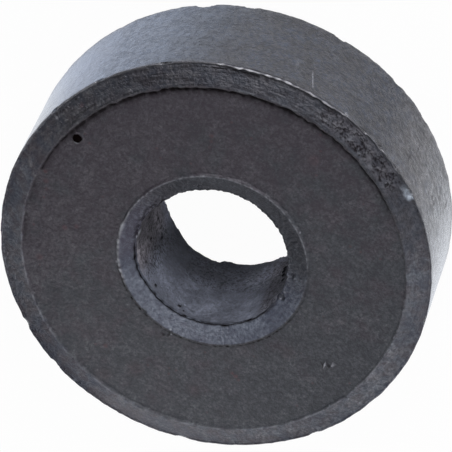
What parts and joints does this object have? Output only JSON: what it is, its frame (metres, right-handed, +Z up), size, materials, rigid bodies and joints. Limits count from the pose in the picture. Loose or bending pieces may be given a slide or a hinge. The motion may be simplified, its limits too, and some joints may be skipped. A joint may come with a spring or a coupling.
{
  "type": "ring magnet",
  "caption": "Thick sintered ferrite ring magnet with a plain through bore, bevelled edges and slightly sunk flat faces.",
  "frame": {"origin": "centre of the bore at the height of the surface that the ring rests on", "axes": "+Z up along the bore; the ring is round, and +X is the zero angle of its few chips and pits"},
  "size_m": [0.028, 0.028, 0.009],
  "materials": {
    "ferrite": "dark grey sintered ferrite, matt and finely pitted, with a faint sheen on the ground outside wall and in the bore"
  },
  "bodies": {
    "root": {"ferrite_ring": "ferrite"}
  },
  "joints": []
}
